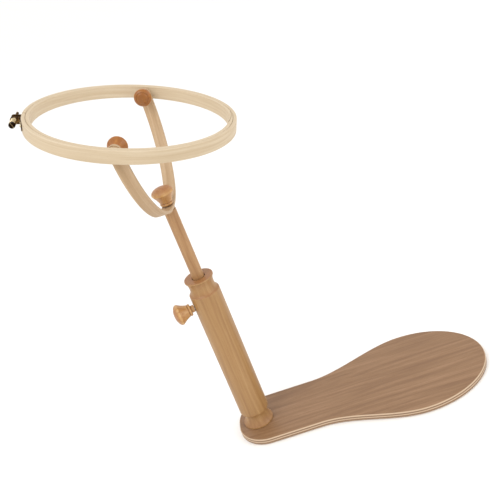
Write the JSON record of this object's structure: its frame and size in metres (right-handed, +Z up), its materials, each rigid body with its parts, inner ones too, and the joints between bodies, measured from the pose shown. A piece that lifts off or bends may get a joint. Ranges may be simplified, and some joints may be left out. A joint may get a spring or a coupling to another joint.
{
  "type": "embroidery hoop on stand",
  "caption": "Wooden embroidery hoop in a bent yoke on a height-adjustable column, fixed to the narrow end of a paddle-shaped board that the sewer sits on.",
  "frame": {"origin": "on the underside of the board, under the column's axis", "axes": "+Z up along the column, +X along the board from the column to its wide end, where the sitter is, +Y across the board"},
  "size_m": [0.4887, 0.2602, 0.5647],
  "materials": {
    "board_beech": "satin oiled plywood with a beech face",
    "column_beech": "satin turned beech",
    "rod_beech": "satin beech dowel",
    "yoke_beech": "bent beech strip",
    "hoop_beech": "pale bent beech",
    "knob_beech": "turned beech, end grain showing",
    "brass": "dull plated",
    "steel": "zinc plated"
  },
  "bodies": {
    "base": {"base_board": "board_beech", "column": "column_beech", "foot_screw_back": "steel", "foot_screw_front": "steel", "thumb_insert": "brass"},
    "thumb_screw": {"thumb_knob": "knob_beech", "thumb_stud": "steel"},
    "rod": {"rod": "rod_beech", "rod_stud": "steel", "yoke_washer": "yoke_beech"},
    "yoke": {"yoke": "yoke_beech"},
    "yoke_clamp": {"yoke_knob": "knob_beech", "yoke_knob_insert": "brass"},
    "hoop": {"inner_ring": "hoop_beech", "pivot_bolt_far": "steel", "pivot_bolt_near": "steel", "pivot_spacer_far": "yoke_beech", "pivot_spacer_near": "yoke_beech"},
    "knob_far": {"pivot_knob_far": "knob_beech", "pivot_knob_insert_far": "brass"},
    "knob_near": {"pivot_knob_near": "knob_beech", "pivot_knob_insert_near": "brass"},
    "outer_ring": {"outer_ring": "hoop_beech", "tension_bracket_near": "brass", "tension_bracket_far": "brass", "bracket_pin_1": "brass", "bracket_pin_2": "brass", "bracket_pin_3": "brass", "bracket_pin_4": "brass", "tension_nut": "brass"},
    "tension_screw": {"tension_screw": "brass"}
  },
  "joints": [
    {"name": "thumb_turn", "type": "hinge", "parent": "base", "child": "thumb_screw", "pos_m": [0, 0, 0.232], "axis": [-0.9703, -0.2419, 0], "continuous": true},
    {"name": "height", "type": "slide", "parent": "base", "child": "rod", "axis": [0, 0, 1], "range_m": [-0.085, 0.065]},
    {"name": "yoke_swivel", "type": "hinge", "parent": "rod", "child": "yoke", "pos_m": [0, 0, 0.3847], "axis": [0, 0, 1], "continuous": true},
    {"name": "yoke_clamp_turn", "type": "hinge", "parent": "rod", "child": "yoke_clamp", "pos_m": [0, 0, 0.387], "axis": [0, 0, 1], "continuous": true},
    {"name": "hoop_tilt", "type": "hinge", "parent": "yoke", "child": "hoop", "pos_m": [0, 0, 0.5081], "axis": [0.1028, 0.9947, 0], "range_deg": [-91, 48]},
    {"name": "knob_far_turn", "type": "hinge", "parent": "hoop", "child": "knob_far", "pos_m": [0.01126, 0.10892, 0.5081], "axis": [0.1028, 0.9947, 0], "continuous": true},
    {"name": "knob_near_turn", "type": "hinge", "parent": "hoop", "child": "knob_near", "pos_m": [-0.01126, -0.10892, 0.5081], "axis": [0.1028, 0.9947, 0], "continuous": true},
    {"name": "ring_lift", "type": "slide", "parent": "hoop", "child": "outer_ring", "axis": [0.3646, -0.0377, 0.9304], "range_m": [0, 0.04]},
    {"name": "tension_turn", "type": "hinge", "parent": "outer_ring", "child": "tension_screw", "pos_m": [-0.12934, -0.00729, 0.55848], "axis": [0.0351, -0.9979, -0.0542], "continuous": true}
  ]
}
